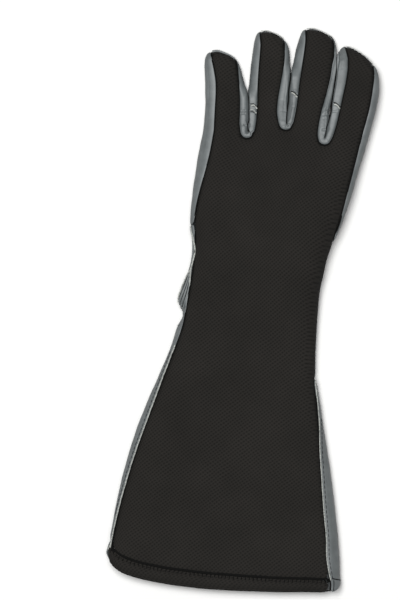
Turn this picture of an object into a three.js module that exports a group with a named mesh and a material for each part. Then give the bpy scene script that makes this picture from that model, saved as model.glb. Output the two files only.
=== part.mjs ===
import * as THREE from 'three';

// An arc flash glove for the left hand, lying palm down with its thumb folded under the palm.
// All lengths are in millimetres. +Y points to the finger tips, +X to the thumb side and +Z up.

// Lengths along the glove
const gauntletLength = 215;
const handLength = 105;
const pinkyLength = 58;
const ringLength = 77;
const middleLength = 83;
const indexLength = 73;
const thumbLength = 104;

// Widths, measured flat across the glove
const cuffWidth = 172;
const wristWidth = 94;
const palmWidth = 118;
const thumbWidth = 31;

// Heights of the hollow tube that the walls enclose, outside to outside
const cuffDepth = 24;
const wristDepth = 23;
const handDepth = 24;
const fingerDepth = 14;
const thumbDepth = 11;

// Walls, seams and hems
const knitWall = 2.5;
const leatherWall = 1.2;
const knitHemWall = 4.4;
const leatherHemWall = 2;
const hemWidth = 11.5;
const hemSag = 16;
const hemTaper = 2.2;
const seamGap = 0.36;
const hemGap = 0.7;
const thumbClearance = 0.6;
const palmSeamInset = 3.5;

// The round joins between two fingers, on the back and on the palm
const webWidth = 12.5;
const webDepth = 4.6;
const palmWebDrop = 9;
const slitGap = 1.6;

// Radii that round the edges of the flattened tube
const cuffRound = 9;
const handRound = 16;
const fingerRound = 8;
const palmRound = 6;
const tipRound = 7;

// Where the flattened tube is centred across the glove
const wristShift = -5;

const fingerPitch = palmWidth / 4;
const knuckleLine = gauntletLength + handLength;

// Edges of the gauntlet. 'along' is a share of the gauntlet's length. The others are shares of the flare
// from half the wrist's width to half the cuff's.
const gauntletEdges = [
  { along: 0.033, outLeft: 0.944, seamLeft: 0.867, seamRight: 0.846, outRight: 1.072 },
  { along: 0.093, outLeft: 0.887, seamLeft: 0.846, seamRight: 0.733, outRight: 0.997 },
  { along: 0.186, outLeft: 0.862, seamLeft: 0.795, seamRight: 0.654, outRight: 0.900 },
  { along: 0.279, outLeft: 0.821, seamLeft: 0.718, seamRight: 0.541, outRight: 0.772 },
  { along: 0.372, outLeft: 0.744, seamLeft: 0.628, seamRight: 0.446, outRight: 0.654 },
  { along: 0.465, outLeft: 0.654, seamLeft: 0.513, seamRight: 0.349, outRight: 0.503 },
  { along: 0.558, outLeft: 0.513, seamLeft: 0.392, seamRight: 0.277, outRight: 0.356 },
  { along: 0.651, outLeft: 0.359, seamLeft: 0.269, seamRight: 0.167, outRight: 0.213 },
  { along: 0.698, outLeft: 0.282, seamLeft: 0.205, seamRight: 0.108, outRight: 0.128 },
  { along: 0.744, outLeft: 0.205, seamLeft: 0.141, seamRight: 0.038, outRight: 0.090 },
  { along: 0.819, outLeft: 0.123, seamLeft: 0.044, seamRight: -0.023, outRight: 0.055 },
  { along: 0.898, outLeft: 0.218, seamLeft: 0.005, seamRight: -0.063, outRight: 0.029 },
  { along: 1.000, outLeft: 0.048, seamLeft: -0.009, seamRight: -0.103, outRight: -0.005 },
];

// Edges of the hand. 'along' is a share of the hand's length. The others are shares of the spread
// from half the wrist's width to half the palm's.
const handEdges = [
  { along: 0, outLeft: 0.156, seamLeft: -0.030, seamRight: -0.333, outRight: -0.017 },
  { along: 0.162, outLeft: 0.050, seamLeft: -0.017, seamRight: -0.167, outRight: 0.167 },
  { along: 0.248, outLeft: 0.125, seamLeft: 0.050, seamRight: -0.056, outRight: 0.169 },
  { along: 0.324, outLeft: 0.400, seamLeft: 0.192, seamRight: 0.325, outRight: 0.383 },
  { along: 0.410, outLeft: 0.500, seamLeft: 0.217, seamRight: 0.608, outRight: 0.667 },
  { along: 0.619, outLeft: 0.500, seamLeft: 0.042, seamRight: 0.833, outRight: 1.083 },
  { along: 0.810, outLeft: 0.458, seamLeft: -0.225, seamRight: 1.050, outRight: 1.375 },
  { along: 1.000, outLeft: 0.333, seamLeft: -0.333, seamRight: 1.267, outRight: 1.667 },
];

// Edges of the fingers. 'along' is a share of the finger's length. The others are shares of the finger pitch,
// measured from the finger's middle.
const pinkyEdges = [
  { along: 0.00, outLeft: -0.508, seamLeft: -0.237, seamRight: 0.441, outRight: 0.546 },
  { along: 0.09, outLeft: -0.508, seamLeft: -0.251, seamRight: 0.372, outRight: 0.542 },
  { along: 0.20, outLeft: -0.514, seamLeft: -0.268, seamRight: 0.348, outRight: 0.534 },
  { along: 0.36, outLeft: -0.545, seamLeft: -0.290, seamRight: 0.318, outRight: 0.503 },
  { along: 0.52, outLeft: -0.577, seamLeft: -0.306, seamRight: 0.270, outRight: 0.449 },
  { along: 0.69, outLeft: -0.644, seamLeft: -0.380, seamRight: 0.203, outRight: 0.318 },
  { along: 0.84, outLeft: -0.688, seamLeft: -0.477, seamRight: 0.150, outRight: 0.188 },
  { along: 0.93, outLeft: -0.666, seamLeft: -0.532, seamRight: 0.086, outRight: 0.086 },
];
const ringEdges = [
  { along: 0.00, outLeft: -0.386, seamLeft: -0.322, seamRight: 0.363, outRight: 0.478 },
  { along: 0.06, outLeft: -0.397, seamLeft: -0.258, seamRight: 0.363, outRight: 0.478 },
  { along: 0.12, outLeft: -0.408, seamLeft: -0.243, seamRight: 0.348, outRight: 0.478 },
  { along: 0.20, outLeft: -0.436, seamLeft: -0.255, seamRight: 0.236, outRight: 0.475 },
  { along: 0.36, outLeft: -0.492, seamLeft: -0.278, seamRight: 0.220, outRight: 0.461 },
  { along: 0.52, outLeft: -0.525, seamLeft: -0.322, seamRight: 0.245, outRight: 0.447 },
  { along: 0.68, outLeft: -0.528, seamLeft: -0.340, seamRight: 0.267, outRight: 0.431 },
  { along: 0.84, outLeft: -0.538, seamLeft: -0.356, seamRight: 0.242, outRight: 0.358 },
  { along: 0.95, outLeft: -0.488, seamLeft: -0.409, seamRight: 0.220, outRight: 0.220 },
];
const middleEdges = [
  { along: 0.00, outLeft: -0.447, seamLeft: -0.397, seamRight: 0.363, outRight: 0.451 },
  { along: 0.06, outLeft: -0.447, seamLeft: -0.397, seamRight: 0.299, outRight: 0.468 },
  { along: 0.13, outLeft: -0.451, seamLeft: -0.344, seamRight: 0.290, outRight: 0.486 },
  { along: 0.20, outLeft: -0.457, seamLeft: -0.319, seamRight: 0.304, outRight: 0.494 },
  { along: 0.36, outLeft: -0.478, seamLeft: -0.288, seamRight: 0.359, outRight: 0.515 },
  { along: 0.52, outLeft: -0.494, seamLeft: -0.288, seamRight: 0.451, outRight: 0.534 },
  { along: 0.68, outLeft: -0.493, seamLeft: -0.266, seamRight: 0.476, outRight: 0.541 },
  { along: 0.84, outLeft: -0.448, seamLeft: -0.254, seamRight: 0.473, outRight: 0.517 },
  { along: 0.96, outLeft: -0.364, seamLeft: -0.288, seamRight: 0.407, outRight: 0.407 },
];
const indexEdges = [
  { along: 0.00, outLeft: -0.563, seamLeft: -0.481, seamRight: 0.278, outRight: 0.441 },
  { along: 0.06, outLeft: -0.548, seamLeft: -0.416, seamRight: 0.296, outRight: 0.465 },
  { along: 0.13, outLeft: -0.531, seamLeft: -0.366, seamRight: 0.317, outRight: 0.494 },
  { along: 0.24, outLeft: -0.519, seamLeft: -0.334, seamRight: 0.355, outRight: 0.534 },
  { along: 0.40, outLeft: -0.500, seamLeft: -0.292, seamRight: 0.405, outRight: 0.594 },
  { along: 0.56, outLeft: -0.481, seamLeft: -0.252, seamRight: 0.426, outRight: 0.619 },
  { along: 0.70, outLeft: -0.475, seamLeft: -0.225, seamRight: 0.436, outRight: 0.584 },
  { along: 0.82, outLeft: -0.482, seamLeft: -0.230, seamRight: 0.405, outRight: 0.447 },
  { along: 0.93, outLeft: -0.485, seamLeft: -0.304, seamRight: 0.397, outRight: 0.397 },
];

// 'middle' is a share of the palm's width, 'cornerLeft' and 'cornerRight' are shares of the finger pitch, and the
// five ends of the tip seam, from left to right, are shares of the finger's length.
const fingers = [
  { name: 'pinky', length: pinkyLength, edges: pinkyEdges, middle: -0.347, cornerLeft: -0.559, cornerRight: 0.085,
    tipSeam: [0.986, 1.009, 0.995, 0.971, 0.931] },
  { name: 'ring', length: ringLength, edges: ringEdges, middle: -0.0975, cornerLeft: -0.424, cornerRight: 0.22,
    tipSeam: [0.987, 1.002, 0.993, 0.974, 0.935] },
  { name: 'middle', length: middleLength, edges: middleEdges, middle: 0.148, cornerLeft: -0.305, cornerRight: 0.407,
    tipSeam: [0.986, 0.998, 0.989, 0.968, 0.94] },
  { name: 'index', length: indexLength, edges: indexEdges, middle: 0.415, cornerLeft: -0.36, cornerRight: 0.397,
    tipSeam: [0.997, 0.985, 0.948, 0.904, 0.842] },
];

// The joins between the fingers. 'across' and 'slit' are shares of the palm's width, 'low' is a share of the join's width.
const webs = [
  { name: 'fourchette_pinky_ring', across: -0.208, slit: -0.2025, low: -0.2 },
  { name: 'fourchette_ring_middle', across: 0.021, slit: 0.0285, low: 0.52 },
  { name: 'fourchette_middle_index', across: 0.267, slit: 0.2685, low: -0.08 },
];

// The lower edge of the cuff. 'across' is a share of half the cuff's width, 'rise' a share of the hem's sag.
const hemLine = [
  { across: -1, rise: 1 },
  { across: -0.97, rise: 0.62 },
  { across: -0.92, rise: 0.42 },
  { across: -0.84, rise: 0.25 },
  { across: -0.67, rise: 0.09 },
  { across: -0.38, rise: 0 },
  { across: -0.2, rise: 0 },
  { across: 0.03, rise: 0.06 },
  { across: 0.26, rise: 0.16 },
  { across: 0.5, rise: 0.28 },
  { across: 0.73, rise: 0.44 },
  { across: 0.91, rise: 0.53 },
  { across: 0.966, rise: 0.58 },
  { across: 0.994, rise: 0.81 },
  { across: 1.003, rise: 1 },
];

// The thumb. 'along' is a share of the thumb's length, 'width' a share of its width.
const thumbSections = [
  { along: 0, width: 0.84 },
  { along: 0.25, width: 0.97 },
  { along: 0.5, width: 1 },
  { along: 0.75, width: 0.95 },
  { along: 0.9, width: 0.8 },
  { along: 1, width: 0.56 },
];

// Rows of the mesh, as shares of the way from the cuff to the knuckles, along a finger and along the thumb
const handRows = [0.075, 0.12, 0.17, 0.22, 0.27, 0.32, 0.37, 0.42, 0.465, 0.51, 0.555, 0.6, 0.64, 0.68, 0.715,
  0.75, 0.79, 0.83, 0.87, 0.91, 0.955, 1];
const fingerRows = [0.07, 0.18, 0.32, 0.47, 0.62, 0.76, 0.87, 0.94, 0.98, 1];
const thumbRows = [0.1, 0.22, 0.36, 0.5, 0.64, 0.78, 0.89, 0.96, 1];
const sideStripTop = 0.465;
const thumbHoleRear = 0.68;
const fingerStripStart = 0.79;

// A smooth curve through a table's rows that never swings past them
function curve(xs, ys) {
  const n = xs.length;
  const slope = [];
  for (let i = 0; i < n - 1; i++) slope.push((ys[i + 1] - ys[i]) / (xs[i + 1] - xs[i]));
  const tangent = ys.map((_, i) => {
    if (i === 0) return slope[0];
    if (i === n - 1) return slope[n - 2];
    if (slope[i - 1] * slope[i] <= 0) return 0;
    return 2 * slope[i - 1] * slope[i] / (slope[i - 1] + slope[i]);
  });
  return (x) => {
    if (x <= xs[0]) return ys[0];
    if (x >= xs[n - 1]) return ys[n - 1];
    let i = 0;
    while (x > xs[i + 1]) i++;
    const h = xs[i + 1] - xs[i];
    const t = (x - xs[i]) / h;
    const a = 1 - t;
    return ys[i] * (1 + 2 * t) * a * a + ys[i + 1] * t * t * (1 + 2 * a)
      + h * (tangent[i] * t * a * a - tangent[i + 1] * t * t * a);
  };
}

const column = (table, along, value) => curve(table.map((row) => row[along]), table.map((row) => row[value]));
const mix = (a, b, t) => a + (b - a) * t;
const smooth = (t) => {
  const c = Math.min(Math.max(t, 0), 1);
  return c * c * (3 - 2 * c);
};

// Height that an edge of the given radius has reached at a distance from the outline, from 0 to 1
const roundOff = (distance, radius) => {
  const c = 1 - Math.min(Math.max(distance / radius, 0), 1);
  return Math.sqrt(1 - c * c);
};

// Outline and seams of the gauntlet and the hand, across the glove at a length y
const half = { cuff: cuffWidth / 2, wrist: wristWidth / 2, palm: palmWidth / 2 };
function bodyEdge(key, side) {
  const flare = column(gauntletEdges, 'along', key);
  const spread = column(handEdges, 'along', key);
  return (y) => {
    const reach = y < gauntletLength
      ? mix(half.wrist, half.cuff, flare(y / gauntletLength))
      : mix(half.wrist, half.palm, spread((y - gauntletLength) / handLength));
    return wristShift + side * reach;
  };
}
const body = {
  outLeft: bodyEdge('outLeft', -1),
  seamLeft: bodyEdge('seamLeft', -1),
  seamRight: bodyEdge('seamRight', 1),
  outRight: bodyEdge('outRight', 1),
};

const cuffMiddle = wristShift + cuffWidth * 0.0145;
const hemRise = column(hemLine, 'across', 'rise');
const hemEdge = (x) => hemSag * (hemRise((x - cuffMiddle) / half.cuff) - 0.5625);

const bodyDepth = curve([0, gauntletLength * 0.5, gauntletLength, gauntletLength + handLength * 0.55, knuckleLine],
  [cuffDepth, cuffDepth * 0.9, wristDepth, handDepth, mix(fingerDepth, handDepth, 0.2)]);
const bodyRound = curve([0, gauntletLength, gauntletLength + handLength * 0.5, knuckleLine],
  [cuffRound, mix(cuffRound, handRound, 0.5), handRound, mix(fingerRound, handRound, 0.3)]);

// The folded thumb lies on the ground and lifts the palm above it
const thumbLean = THREE.MathUtils.degToRad(7.5);
const thumbAxis = new THREE.Vector2(Math.sin(thumbLean), Math.cos(thumbLean));
const thumbAcross = new THREE.Vector2(Math.cos(thumbLean), -Math.sin(thumbLean));
const thumbRoot = new THREE.Vector2(palmWidth * 0.222, gauntletLength + handLength * 0.1);
function thumbPlace(x, y) {
  const from = new THREE.Vector2(x, y).sub(thumbRoot);
  return { along: from.dot(thumbAxis), across: from.dot(thumbAcross) };
}
function lift(x, y) {
  const at = thumbPlace(x, y);
  const past = Math.max(at.along - (thumbLength - thumbWidth * 0.45), 0);
  const away = Math.hypot(at.across, past * 0.45);
  const ramp = smooth((at.along + thumbLength * 0.28) / (thumbLength * 0.5));
  return (thumbDepth + thumbClearance) * ramp * (1 - smooth((away - thumbWidth * 0.52) / thumbWidth));
}

// The back of the hand follows that lift in a wider and softer swell
function swell(x, y) {
  const at = thumbPlace(x, y);
  const past = Math.max(at.along - (thumbLength - thumbWidth * 0.7), 0);
  const away = Math.hypot(at.across, past * 0.6);
  const ramp = smooth((at.along + thumbLength * 0.6) / (thumbLength * 1.1));
  return (thumbDepth + thumbClearance) * ramp * (1 - smooth((away - thumbWidth * 0.15) / (thumbWidth * 2.1)));
}

// Height in the tube at a share from its floor (-1) to its ceiling (1). On the hand both follow the thumb below.
// A finger is lifted as a whole instead: 'tube.lie' grows from 0 on the hand to 1 along the finger, whose middle
// is at 'tube.middle'.
function tubeHeight(x, y, tube, share) {
  const floor = mix(lift(x, y), lift(mix(x, tube.middle, tube.lie), y), tube.lie);
  const ceiling = tube.depth + mix(swell(x, y), floor, tube.lie);
  return mix(floor, ceiling, (1 + share) / 2);
}
const openHand = (depth) => ({ depth, lie: 0, middle: 0 });

// A skin is a mesh of the glove's outer surface. Each face belongs to a named piece.
class Skin {
  constructor() {
    this.points = [];
    this.found = new Map();
    this.faces = [];
  }
  point(p) {
    const key = [p.x, p.y, p.z].map((v) => Math.round(v * 2000)).join(' ');
    if (!this.found.has(key)) {
      this.found.set(key, this.points.length);
      this.points.push(p.clone());
    }
    return this.found.get(key);
  }
  face(piece, corners) {
    const ids = corners.map((p) => this.point(p));
    const ring = ids.filter((id, i) => id !== ids[(i + 1) % ids.length]);
    if (ring.length > 2) this.faces.push({ piece, ring });
  }
  faceNormal(ring) {
    const normal = new THREE.Vector3();
    ring.forEach((id, i) => {
      const a = this.points[id];
      const b = this.points[ring[(i + 1) % ring.length]];
      normal.x += (a.y - b.y) * (a.z + b.z);
      normal.y += (a.z - b.z) * (a.x + b.x);
      normal.z += (a.x - b.x) * (a.y + b.y);
    });
    return normal;
  }
  finish() {
    this.normals = this.points.map(() => new THREE.Vector3());
    this.faces.forEach((face) => {
      face.normal = this.faceNormal(face.ring);
      face.ring.forEach((id) => this.normals[id].add(face.normal));
      face.normal.normalize();
    });
    this.normals.forEach((n) => n.normalize());
    return this;
  }
}

// Gives one piece of the skin its wall, and draws its edges back from the seams it shares with other pieces
function panel(skin, piece, wall, gap) {
  const faces = skin.faces.filter((face) => face.piece === piece);
  const owner = new Map();
  skin.faces.forEach((face) => face.ring.forEach((id, i) => {
    owner.set(id + ' ' + face.ring[(i + 1) % face.ring.length], face.piece);
  }));
  const rims = [];
  const pulls = new Map();
  faces.forEach((face) => face.ring.forEach((a, i) => {
    const b = face.ring[(i + 1) % face.ring.length];
    const across = owner.get(b + ' ' + a);
    if (across === piece) return;
    rims.push([a, b]);
    if (across === undefined) return;
    const inward = skin.points[b].clone().sub(skin.points[a]);
    inward.crossVectors(face.normal, inward).normalize();
    [a, b].forEach((id) => pulls.set(id, [...(pulls.get(id) || []), inward]));
  }));
  const used = new Map();
  const outer = [];
  const inner = [];
  const place = (id) => {
    if (used.has(id)) return used.get(id);
    const p = skin.points[id].clone();
    const pull = pulls.get(id);
    if (pull) {
      const sum = new THREE.Vector3();
      pull.forEach((v) => sum.add(v));
      const scale = pull.length > 1 ? 1 + Math.max(pull[0].dot(pull[1]), -0.5) : 1;
      p.addScaledVector(sum, gap / 2 / scale);
    }
    outer.push(p);
    inner.push(p.clone().addScaledVector(skin.normals[id], -wall));
    used.set(id, outer.length - 1);
    return outer.length - 1;
  };
  const triangles = [];
  faces.forEach((face) => {
    const [a, b, c, d] = face.ring.map(place);
    if (d === undefined) triangles.push([a, b, c]);
    else if (outer[a].distanceTo(outer[c]) <= outer[b].distanceTo(outer[d])) triangles.push([a, b, c], [a, c, d]);
    else triangles.push([a, b, d], [b, c, d]);
  });
  const count = outer.length;
  const index = [];
  triangles.forEach(([a, b, c]) => index.push(a, b, c, count + a, count + c, count + b));
  rims.forEach(([from, to]) => {
    const a = used.get(from);
    const b = used.get(to);
    if (from < to) index.push(b, a, count + b, a, count + a, count + b);
    else index.push(b, a, count + a, b, count + a, count + b);
  });
  return { points: [...outer, ...inner], index };
}

// The three points between the two seams of a side strip, which rounds the outline at 'mid'
function sideStrip(top, mid, bottom, tube, taper) {
  const bend = (seam, reached, sign) => {
    const angle = Math.max(Math.asin(Math.min(reached, 1)), 0.02);
    const share = (1 - Math.cos(angle / 2)) / (1 - Math.cos(angle));
    const x = mix(mid.x, seam.x, share);
    const y = mix(mid.y, seam.y, share);
    return new THREE.Vector3(x, y, tubeHeight(x, y, tube, sign * taper * Math.sin(angle / 2)));
  };
  return [
    bend(top, top.reached, 1),
    new THREE.Vector3(mid.x, mid.y, tubeHeight(mid.x, mid.y, tube, 0)),
    bend(bottom, bottom.reached, -1),
  ];
}

// Corners of the three joins between the fingers
const corner = webWidth * 0.27;
const cornerRise = webWidth * 0.1;
const joins = webs.map((web) => {
  const x = web.across * palmWidth;
  const y = knuckleLine + web.low * webWidth;
  const slitX = web.slit * palmWidth;
  return {
    name: web.name,
    back: [[x - corner, y + cornerRise], [x, y], [x + corner, y + cornerRise]],
    palm: [[x - corner, y + cornerRise - palmWebDrop], [x, y - palmWebDrop], [x + corner, y + cornerRise - palmWebDrop]],
    slit: [[slitX - slitGap * 0.55, y + webDepth + slitGap * 0.5], [slitX, y + webDepth],
      [slitX + slitGap * 0.55, y + webDepth + slitGap * 0.5]],
  };
});

// The row of points across the knuckles, on the back or on the palm, from the pinky's side to the index finger's
function knuckleRow(face, drop) {
  const y0 = joins[0][face][0][1];
  const y3 = joins[2][face][2][1];
  const left = face === 'back' ? body.seamLeft(y0) : body.outLeft(y0) + palmSeamInset;
  const right = face === 'back' ? body.seamRight(y3) : body.outRight(y3) - palmSeamInset;
  const stops = [[left, y0], ...joins.flatMap((join) => join[face]), [right, y3]];
  const row = [stops[0]];
  for (let i = 0; i < 4; i++) {
    const from = stops[i * 3];
    const to = stops[i * 3 + 1];
    for (let k = 1; k <= 4; k++) row.push([mix(from[0], to[0], k / 4), mix(from[1], to[1], k / 4)]);
    if (i < 3) row.push(stops[i * 3 + 2], stops[i * 3 + 3]);
  }
  return row;
}
const backRow = knuckleRow('back');
const palmRow = knuckleRow('palm');
const lastColumn = backRow.length - 1;
const shares = (row) => row.map(([x]) => (x - row[0][0]) / (row[lastColumn][0] - row[0][0]));
const backShares = shares(backRow);
const palmShares = shares(palmRow);

// The palm's knit wedge starts at this column, and leans to the pinky's side toward the cuff
const wedgeColumn = Math.round(lastColumn * 0.55);
const stripColumn = Math.round(lastColumn * 0.91);
const holeColumn = Math.round(lastColumn * 0.73);
const wedgeLean = -0.13;
function palmShare(column, v) {
  const at = palmShares[wedgeColumn];
  const to = at + wedgeLean * Math.max(1 - v / thumbHoleRear, 0);
  const f = palmShares[column];
  return f < at ? f / at * to : to + (f - at) / (1 - at) * (1 - to);
}

const valley = (x, y, depth) => joins.reduce((low, join) => {
  const near = Math.exp(-(((x - join.back[1][0]) / (webWidth * 0.56)) ** 2));
  return low * (1 - depth * near * smooth((y - join.back[1][1] + webWidth * 2) / (webWidth * 2)));
}, 1);

function bodyPoint(face, x, y) {
  const depth = bodyDepth(y);
  const distance = Math.min(x - body.outLeft(y), body.outRight(y) - x);
  const reached = face === 'back'
    ? roundOff(distance, bodyRound(y)) * valley(x, y, 0.13)
    : roundOff(distance, palmRound) * valley(x, y + palmWebDrop, 0.2);
  const sign = face === 'back' ? 1 : -1;
  const p = new THREE.Vector3(x, y, tubeHeight(x, y, openHand(depth), sign * reached));
  p.reached = reached;
  return p;
}

// The hem's upper edge, as a share of the way to the knuckles. The hem narrows toward the thumb side.
const hemShare = hemWidth / (knuckleLine - hemEdge(cuffMiddle));

// One closed row of points round the hand: back, thumb side, palm, pinky side
function bodyRow(v) {
  const back = backRow.map(([topX, topY], j) => {
    const y0 = hemEdge(mix(body.seamLeft(0), body.seamRight(0), backShares[j]));
    const narrower = v === hemShare ? hemTaper * backShares[j] ** 2 : 0;
    const y = mix(y0, topY, v) - narrower;
    const x = v === 1 ? topX : mix(body.seamLeft(y), body.seamRight(y), backShares[j]);
    return bodyPoint('back', x, y);
  });
  const palm = palmRow.map(([topX, topY], j) => {
    const left0 = body.outLeft(0) + palmSeamInset;
    const right0 = body.outRight(0) - palmSeamInset;
    const y0 = hemEdge(mix(left0, right0, palmShare(j, 0)));
    const y = mix(y0, topY, v);
    const left = body.outLeft(y) + palmSeamInset;
    const right = body.outRight(y) - palmSeamInset;
    return bodyPoint('palm', v === 1 ? topX : mix(left, right, palmShare(j, v)), y);
  });
  const side = (key, top, bottom) => {
    const y = mix(hemEdge(body[key](0)), mix(topEnd(top), topEnd(bottom), 0.5), v);
    const mid = { x: body[key](y), y };
    const strip = sideStrip(top, mid, bottom, openHand(bodyDepth(y)), 1);
    if (v === 0) strip.forEach((p) => p.setY(hemEdge(p.x)));
    return strip;
  };
  const topEnd = (p) => (p === back[0] ? backRow[0][1] : p === back[lastColumn] ? backRow[lastColumn][1]
    : p === palm[0] ? palmRow[0][1] : palmRow[lastColumn][1]);
  const right = side('outRight', back[lastColumn], palm[lastColumn]);
  const left = side('outLeft', back[0], palm[0]);
  return { back, palm, right, left, loop: [...back, ...right, ...[...palm].reverse(), ...[...left].reverse()] };
}

const rows = [0, hemShare, ...handRows].map(bodyRow);
const rowAt = (share) => handRows.indexOf(share) + 2;
const stripEnd = rowAt(sideStripTop);
const holeRear = rowAt(thumbHoleRear);
const holeFront = rowAt(fingerStripStart);

function bodyPiece(row, k) {
  const n = lastColumn;
  if (k < n) return row === 0 ? 'back_hem' : 'back_panel';
  if (k < n + 4) {
    if (row < stripEnd) return 'gauntlet_side_strip';
    return row < holeFront ? 'back_panel' : 'index_side_strip';
  }
  if (k < 2 * n + 4) {
    const j = 2 * n + 3 - k;
    if (row < stripEnd && j >= stripColumn) return 'gauntlet_side_strip';
    if (row === 0) return 'palm_hem';
    if (row < holeRear && j >= wedgeColumn) return 'back_panel';
    if (row >= holeRear && row < holeFront && j >= holeColumn) return null;
    return 'palm_panel';
  }
  if (row === 0) return k < 2 * n + 6 ? 'palm_hem' : 'back_hem';
  return row < holeFront ? 'palm_panel' : 'pinky_side_strip';
}

function ribbon(skin, lower, upper, pieceOf) {
  lower.forEach((p, k) => {
    const next = (k + 1) % lower.length;
    const piece = pieceOf(k);
    if (piece) skin.face(piece, [p, lower[next], upper[next], upper[k]]);
  });
}

const skin = new Skin();
for (let r = 0; r + 1 < rows.length; r++) {
  ribbon(skin, rows[r].loop, rows[r + 1].loop, (k) => bodyPiece(r, k));
}

// The joins between the fingers: three columns of points, from the back's seam round the slit to the palm's seam
const knuckles = rows[rows.length - 1];
joins.forEach((join, g) => {
  const first = 6 * g + 4;
  join.columns = [0, 1, 2].map((m) => {
    const top = knuckles.back[first + m];
    const bottom = knuckles.palm[first + m];
    const mid = { x: join.slit[m][0], y: join.slit[m][1] };
    return [top, ...sideStrip(top, mid, bottom, openHand(bodyDepth(knuckleLine)), 1), bottom];
  });
  for (let m = 0; m < 2; m++) {
    for (let i = 0; i < 4; i++) {
      const [a, b] = [join.columns[m], join.columns[m + 1]];
      skin.face(join.name, [a[i], b[i], b[i + 1], a[i + 1]]);
    }
  }
});

// The fingers
fingers.forEach((finger, f) => {
  const middle = finger.middle * palmWidth;
  const edge = (key, side) => {
    const end = finger.tipSeam[side < 0 ? 0 : 4];
    const rowsBelow = finger.edges.filter((row) => row.along < end - 0.01);
    const last = side < 0 ? finger.cornerLeft : finger.cornerRight;
    const reach = curve([...rowsBelow.map((row) => row.along), end], [...rowsBelow.map((row) => row[key]), last]);
    return (y) => middle + fingerPitch * reach((y - knuckleLine) / finger.length);
  };
  const out = [edge('outLeft', -1), edge('outRight', 1)];
  const seam = [edge('seamLeft', -1), edge('seamRight', 1)];
  const first = 6 * f;
  const base = {
    back: knuckles.back.slice(first, first + 5),
    palm: knuckles.palm.slice(first, first + 5),
    left: f === 0 ? knuckles.left : joins[f - 1].columns[2].slice(1, 4),
    right: f === 3 ? knuckles.right : joins[f].columns[0].slice(1, 4),
  };
  const tip = finger.tipSeam.map((share) => knuckleLine + share * finger.length);
  const loopOf = (row) => [...row.back, ...row.right, ...[...row.palm].reverse(), ...[...row.left].reverse()];
  const fingerRow = (s) => {
    const depth = mix(bodyDepth(knuckleLine), fingerDepth, smooth(s / 0.3));
    const tube = { depth, lie: smooth(s / 0.4), middle };
    const inset = palmSeamInset * (1 - s ** 8);
    const across = (face, j) => {
      const y = mix(base[face][j].y, tip[j], s);
      const sewn = mix(seam[0](y), seam[1](y), j / 4);
      const x = face === 'back' ? sewn : mix(mix(out[0](y) + inset, out[1](y) - inset, j / 4), sewn, s ** 8);
      const round = face === 'back' ? fingerRound : palmRound;
      const distance = Math.min(x - out[0](y), out[1](y) - x);
      const reached = roundOff(distance, round);
      const taper = roundOff(tip[j] - y, tipRound);
      const sign = face === 'back' ? 1 : -1;
      const p = new THREE.Vector3(x, y, tubeHeight(x, y, tube, sign * reached * taper));
      p.reached = reached;
      return p;
    };
    const back = [0, 1, 2, 3, 4].map((j) => across('back', j));
    const palm = [0, 1, 2, 3, 4].map((j) => across('palm', j));
    const side = (j, lane, from) => {
      const y = mix(from.y, tip[j], s);
      const taper = roundOff(tip[j] - y, tipRound);
      return sideStrip(back[j], { x: out[lane](y), y }, palm[j], tube, taper);
    };
    return { back, palm, left: side(0, 0, base.left[1]), right: side(4, 1, base.right[1]) };
  };
  const leftStrip = f === 0 ? 'pinky_side_strip' : joins[f - 1].name;
  const rightStrip = f === 3 ? 'index_side_strip' : joins[f].name;
  const pieceOf = (k) => {
    if (k < 4) return 'back_panel';
    if (k < 8) return rightStrip;
    return k < 12 ? 'palm_panel' : leftStrip;
  };
  let lower = loopOf(base);
  fingerRows.forEach((s) => {
    const upper = loopOf(fingerRow(s));
    ribbon(skin, lower, upper, pieceOf);
    lower = upper;
  });
});
skin.finish();

// The thumb starts just inside the hole in the palm and lies forward on the ground
const thumbSkin = new Skin();
const hole = (row, j) => rows[row].palm[j];
const holeLoop = [];
for (let j = holeColumn; j <= lastColumn; j++) holeLoop.push({ p: hole(holeFront, j), wall: 'top' });
for (let r = holeFront - 1; r > holeRear; r--) holeLoop.push({ p: hole(r, lastColumn), wall: 'right' });
for (let j = lastColumn; j >= holeColumn; j--) holeLoop.push({ p: hole(holeRear, j), wall: 'bottom' });
for (let r = holeRear + 1; r < holeFront; r++) holeLoop.push({ p: hole(r, holeColumn), wall: 'left' });
const acrossCount = lastColumn - holeColumn;
const sideCount = holeFront - holeRear;
const holeMiddle = new THREE.Vector3();
holeLoop.forEach(({ p }) => holeMiddle.addScaledVector(p, 1 / holeLoop.length));
const thumbRing = holeLoop.map(({ p, wall }) => {
  const q = p.clone();
  const toward = holeMiddle.clone().sub(p).setZ(0).normalize();
  q.addScaledVector(toward, seamGap * 3);
  q.z = wall === 'top' ? thumbDepth : Math.min(p.z + seamGap, thumbDepth);
  return q;
});
const thumbWide = column(thumbSections, 'along', 'width');
const thumbInset = palmRound * 0.45;
function thumbTarget(k, s) {
  const wide = thumbWidth / 2 * thumbWide(s);
  const flat = wide - thumbInset;
  const cut = [acrossCount, acrossCount + sideCount, 2 * acrossCount + sideCount, 2 * (acrossCount + sideCount)];
  const seamAngle = Math.asin(roundOff(thumbInset, palmRound));
  if (k <= cut[0]) return { across: mix(-flat, flat, k / acrossCount), angle: Math.PI / 2, flat: true };
  if (k < cut[1]) return { across: wide, angle: mix(seamAngle, -seamAngle, (k - cut[0]) / sideCount) };
  if (k <= cut[2]) return { across: mix(flat, -flat, (k - cut[1]) / acrossCount), angle: -Math.PI / 2, flat: true };
  return { across: -wide, angle: mix(-seamAngle, seamAngle, (k - cut[2]) / sideCount) };
}
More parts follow.
